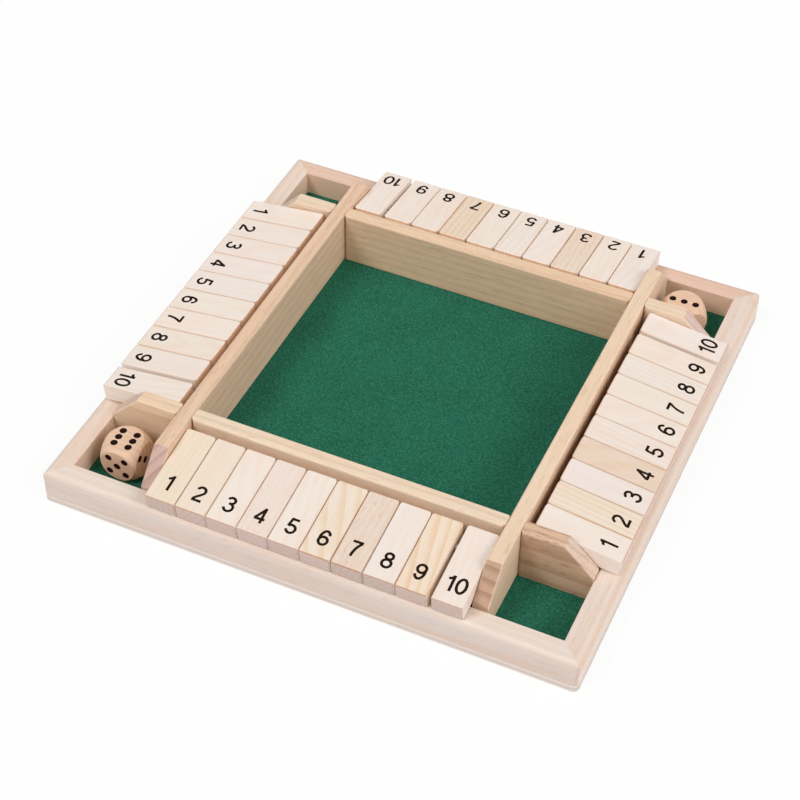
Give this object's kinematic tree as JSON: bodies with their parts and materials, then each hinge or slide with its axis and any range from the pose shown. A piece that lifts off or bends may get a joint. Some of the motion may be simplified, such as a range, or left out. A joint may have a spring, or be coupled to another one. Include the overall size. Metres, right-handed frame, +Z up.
{
  "type": "shut the box game",
  "caption": "Four-sided shut the box: square wooden board with a felt-lined dice tray and, on each side, a row of numbered wooden tiles that tip over on a steel rod.",
  "frame": {"origin": "centre of the board's underside, where it stands on the table", "axes": "+Z up; +X to the right along the front rail; +Y to the back"},
  "size_m": [0.222, 0.222, 0.0285],
  "materials": {
    "base_wood": "sanded pine board, unvarnished",
    "rail_wood": "sanded pine moulding",
    "wall_wood": "sanded pine strip",
    "tile_wood": "planed pale pine with painted digits",
    "die_wood": "smooth beech with dark pips",
    "felt": "matt green felt",
    "rod_steel": "plain drawn steel rod"
  },
  "bodies": {
    "board": {"base_board": "base_wood", "felt_lining": "felt", "front_rail": "rail_wood", "right_rail": "rail_wood", "back_rail": "rail_wood", "left_rail": "rail_wood", "left_long_wall": "wall_wood", "right_long_wall": "wall_wood", "front_cross_wall": "wall_wood", "back_cross_wall": "wall_wood", "front_left_divider": "wall_wood", "front_right_divider": "wall_wood", "back_right_divider": "wall_wood", "back_left_divider": "wall_wood", "front_rod": "rod_steel", "right_rod": "rod_steel", "back_rod": "rod_steel", "left_rod": "rod_steel"},
    "front_die": {"front_die": "die_wood"},
    "back_die": {"back_die": "die_wood"},
    "front_tile_1": {"front_tile_1": "tile_wood"},
    "front_tile_2": {"front_tile_2": "tile_wood"},
    "front_tile_3": {"front_tile_3": "tile_wood"},
    "front_tile_4": {"front_tile_4": "tile_wood"},
    "front_tile_5": {"front_tile_5": "tile_wood"},
    "front_tile_6": {"front_tile_6": "tile_wood"},
    "front_tile_7": {"front_tile_7": "tile_wood"},
    "front_tile_8": {"front_tile_8": "tile_wood"},
    "front_tile_9": {"front_tile_9": "tile_wood"},
    "front_tile_10": {"front_tile_10": "tile_wood"},
    "right_tile_1": {"right_tile_1": "tile_wood"},
    "right_tile_2": {"right_tile_2": "tile_wood"},
    "right_tile_3": {"right_tile_3": "tile_wood"},
    "right_tile_4": {"right_tile_4": "tile_wood"},
    "right_tile_5": {"right_tile_5": "tile_wood"},
    "right_tile_6": {"right_tile_6": "tile_wood"},
    "right_tile_7": {"right_tile_7": "tile_wood"},
    "right_tile_8": {"right_tile_8": "tile_wood"},
    "right_tile_9": {"right_tile_9": "tile_wood"},
    "right_tile_10": {"right_tile_10": "tile_wood"},
    "back_tile_1": {"back_tile_1": "tile_wood"},
    "back_tile_2": {"back_tile_2": "tile_wood"},
    "back_tile_3": {"back_tile_3": "tile_wood"},
    "back_tile_4": {"back_tile_4": "tile_wood"},
    "back_tile_5": {"back_tile_5": "tile_wood"},
    "back_tile_6": {"back_tile_6": "tile_wood"},
    "back_tile_7": {"back_tile_7": "tile_wood"},
    "back_tile_8": {"back_tile_8": "tile_wood"},
    "back_tile_9": {"back_tile_9": "tile_wood"},
    "back_tile_10": {"back_tile_10": "tile_wood"},
    "left_tile_1": {"left_tile_1": "tile_wood"},
    "left_tile_2": {"left_tile_2": "tile_wood"},
    "left_tile_3": {"left_tile_3": "tile_wood"},
    "left_tile_4": {"left_tile_4": "tile_wood"},
    "left_tile_5": {"left_tile_5": "tile_wood"},
    "left_tile_6": {"left_tile_6": "tile_wood"},
    "left_tile_7": {"left_tile_7": "tile_wood"},
    "left_tile_8": {"left_tile_8": "tile_wood"},
    "left_tile_9": {"left_tile_9": "tile_wood"},
    "left_tile_10": {"left_tile_10": "tile_wood"}
  },
  "joints": [
    {"name": "front_tile_1_hinge", "type": "hinge", "parent": "board", "child": "front_tile_1", "pos_m": [0, -0.08316, 0.0219], "axis": [-1, 0, 0], "range_deg": [0, 140]},
    {"name": "front_tile_2_hinge", "type": "hinge", "parent": "board", "child": "front_tile_2", "pos_m": [0, -0.08316, 0.0219], "axis": [-1, 0, 0], "range_deg": [0, 140]},
    {"name": "front_tile_3_hinge", "type": "hinge", "parent": "board", "child": "front_tile_3", "pos_m": [0, -0.08316, 0.0219], "axis": [-1, 0, 0], "range_deg": [0, 140]},
    {"name": "front_tile_4_hinge", "type": "hinge", "parent": "board", "child": "front_tile_4", "pos_m": [0, -0.08316, 0.0219], "axis": [-1, 0, 0], "range_deg": [0, 140]},
    {"name": "front_tile_5_hinge", "type": "hinge", "parent": "board", "child": "front_tile_5", "pos_m": [0, -0.08316, 0.0219], "axis": [-1, 0, 0], "range_deg": [0, 140]},
    {"name": "front_tile_6_hinge", "type": "hinge", "parent": "board", "child": "front_tile_6", "pos_m": [0, -0.08316, 0.0219], "axis": [-1, 0, 0], "range_deg": [0, 140]},
    {"name": "front_tile_7_hinge", "type": "hinge", "parent": "board", "child": "front_tile_7", "pos_m": [0, -0.08316, 0.0219], "axis": [-1, 0, 0], "range_deg": [0, 140]},
    {"name": "front_tile_8_hinge", "type": "hinge", "parent": "board", "child": "front_tile_8", "pos_m": [0, -0.08316, 0.0219], "axis": [-1, 0, 0], "range_deg": [0, 140]},
    {"name": "front_tile_9_hinge", "type": "hinge", "parent": "board", "child": "front_tile_9", "pos_m": [0, -0.08316, 0.0219], "axis": [-1, 0, 0], "range_deg": [0, 140]},
    {"name": "front_tile_10_hinge", "type": "hinge", "parent": "board", "child": "front_tile_10", "pos_m": [0, -0.08316, 0.0219], "axis": [-1, 0, 0], "range_deg": [0, 131]},
    {"name": "right_tile_1_hinge", "type": "hinge", "parent": "board", "child": "right_tile_1", "pos_m": [0.08316, 0, 0.0219], "axis": [0, -1, 0], "range_deg": [0, 140]},
    {"name": "right_tile_2_hinge", "type": "hinge", "parent": "board", "child": "right_tile_2", "pos_m": [0.08316, 0, 0.0219], "axis": [0, -1, 0], "range_deg": [0, 140]},
    {"name": "right_tile_3_hinge", "type": "hinge", "parent": "board", "child": "right_tile_3", "pos_m": [0.08316, 0, 0.0219], "axis": [0, -1, 0], "range_deg": [0, 140]},
    {"name": "right_tile_4_hinge", "type": "hinge", "parent": "board", "child": "right_tile_4", "pos_m": [0.08316, 0, 0.0219], "axis": [0, -1, 0], "range_deg": [0, 140]},
    {"name": "right_tile_5_hinge", "type": "hinge", "parent": "board", "child": "right_tile_5", "pos_m": [0.08316, 0, 0.0219], "axis": [0, -1, 0], "range_deg": [0, 140]},
    {"name": "right_tile_6_hinge", "type": "hinge", "parent": "board", "child": "right_tile_6", "pos_m": [0.08316, 0, 0.0219], "axis": [0, -1, 0], "range_deg": [0, 140]},
    {"name": "right_tile_7_hinge", "type": "hinge", "parent": "board", "child": "right_tile_7", "pos_m": [0.08316, 0, 0.0219], "axis": [0, -1, 0], "range_deg": [0, 140]},
    {"name": "right_tile_8_hinge", "type": "hinge", "parent": "board", "child": "right_tile_8", "pos_m": [0.08316, 0, 0.0219], "axis": [0, -1, 0], "range_deg": [0, 140]},
    {"name": "right_tile_9_hinge", "type": "hinge", "parent": "board", "child": "right_tile_9", "pos_m": [0.08316, 0, 0.0219], "axis": [0, -1, 0], "range_deg": [0, 140]},
    {"name": "right_tile_10_hinge", "type": "hinge", "parent": "board", "child": "right_tile_10", "pos_m": [0.08316, 0, 0.0219], "axis": [0, -1, 0], "range_deg": [0, 131]},
    {"name": "back_tile_1_hinge", "type": "hinge", "parent": "board", "child": "back_tile_1", "pos_m": [0, 0.08316, 0.0219], "axis": [1, 0, 0], "range_deg": [0, 140]},
    {"name": "back_tile_2_hinge", "type": "hinge", "parent": "board", "child": "back_tile_2", "pos_m": [0, 0.08316, 0.0219], "axis": [1, 0, 0], "range_deg": [0, 140]},
    {"name": "back_tile_3_hinge", "type": "hinge", "parent": "board", "child": "back_tile_3", "pos_m": [0, 0.08316, 0.0219], "axis": [1, 0, 0], "range_deg": [0, 140]},
    {"name": "back_tile_4_hinge", "type": "hinge", "parent": "board", "child": "back_tile_4", "pos_m": [0, 0.08316, 0.0219], "axis": [1, 0, 0], "range_deg": [0, 140]},
    {"name": "back_tile_5_hinge", "type": "hinge", "parent": "board", "child": "back_tile_5", "pos_m": [0, 0.08316, 0.0219], "axis": [1, 0, 0], "range_deg": [0, 140]},
    {"name": "back_tile_6_hinge", "type": "hinge", "parent": "board", "child": "back_tile_6", "pos_m": [0, 0.08316, 0.0219], "axis": [1, 0, 0], "range_deg": [0, 140]},
    {"name": "back_tile_7_hinge", "type": "hinge", "parent": "board", "child": "back_tile_7", "pos_m": [0, 0.08316, 0.0219], "axis": [1, 0, 0], "range_deg": [0, 140]},
    {"name": "back_tile_8_hinge", "type": "hinge", "parent": "board", "child": "back_tile_8", "pos_m": [0, 0.08316, 0.0219], "axis": [1, 0, 0], "range_deg": [0, 140]},
    {"name": "back_tile_9_hinge", "type": "hinge", "parent": "board", "child": "back_tile_9", "pos_m": [0, 0.08316, 0.0219], "axis": [1, 0, 0], "range_deg": [0, 140]},
    {"name": "back_tile_10_hinge", "type": "hinge", "parent": "board", "child": "back_tile_10", "pos_m": [0, 0.08316, 0.0219], "axis": [1, 0, 0], "range_deg": [0, 131]},
    {"name": "left_tile_1_hinge", "type": "hinge", "parent": "board", "child": "left_tile_1", "pos_m": [-0.08316, 0, 0.0219], "axis": [0, 1, 0], "range_deg": [0, 140]},
    {"name": "left_tile_2_hinge", "type": "hinge", "parent": "board", "child": "left_tile_2", "pos_m": [-0.08316, 0, 0.0219], "axis": [0, 1, 0], "range_deg": [0, 140]},
    {"name": "left_tile_3_hinge", "type": "hinge", "parent": "board", "child": "left_tile_3", "pos_m": [-0.08316, 0, 0.0219], "axis": [0, 1, 0], "range_deg": [0, 140]},
    {"name": "left_tile_4_hinge", "type": "hinge", "parent": "board", "child": "left_tile_4", "pos_m": [-0.08316, 0, 0.0219], "axis": [0, 1, 0], "range_deg": [0, 140]},
    {"name": "left_tile_5_hinge", "type": "hinge", "parent": "board", "child": "left_tile_5", "pos_m": [-0.08316, 0, 0.0219], "axis": [0, 1, 0], "range_deg": [0, 140]},
    {"name": "left_tile_6_hinge", "type": "hinge", "parent": "board", "child": "left_tile_6", "pos_m": [-0.08316, 0, 0.0219], "axis": [0, 1, 0], "range_deg": [0, 140]},
    {"name": "left_tile_7_hinge", "type": "hinge", "parent": "board", "child": "left_tile_7", "pos_m": [-0.08316, 0, 0.0219], "axis": [0, 1, 0], "range_deg": [0, 140]},
    {"name": "left_tile_8_hinge", "type": "hinge", "parent": "board", "child": "left_tile_8", "pos_m": [-0.08316, 0, 0.0219], "axis": [0, 1, 0], "range_deg": [0, 140]},
    {"name": "left_tile_9_hinge", "type": "hinge", "parent": "board", "child": "left_tile_9", "pos_m": [-0.08316, 0, 0.0219], "axis": [0, 1, 0], "range_deg": [0, 140]},
    {"name": "left_tile_10_hinge", "type": "hinge", "parent": "board", "child": "left_tile_10", "pos_m": [-0.08316, 0, 0.0219], "axis": [0, 1, 0], "range_deg": [0, 131]},
    {"name": "front_die_lift", "type": "slide", "parent": "board", "child": "front_die", "axis": [0, 0, 1], "range_m": [0, 0.03]},
    {"name": "back_die_lift", "type": "slide", "parent": "board", "child": "back_die", "axis": [0, 0, 1], "range_m": [0, 0.03]}
  ]
}
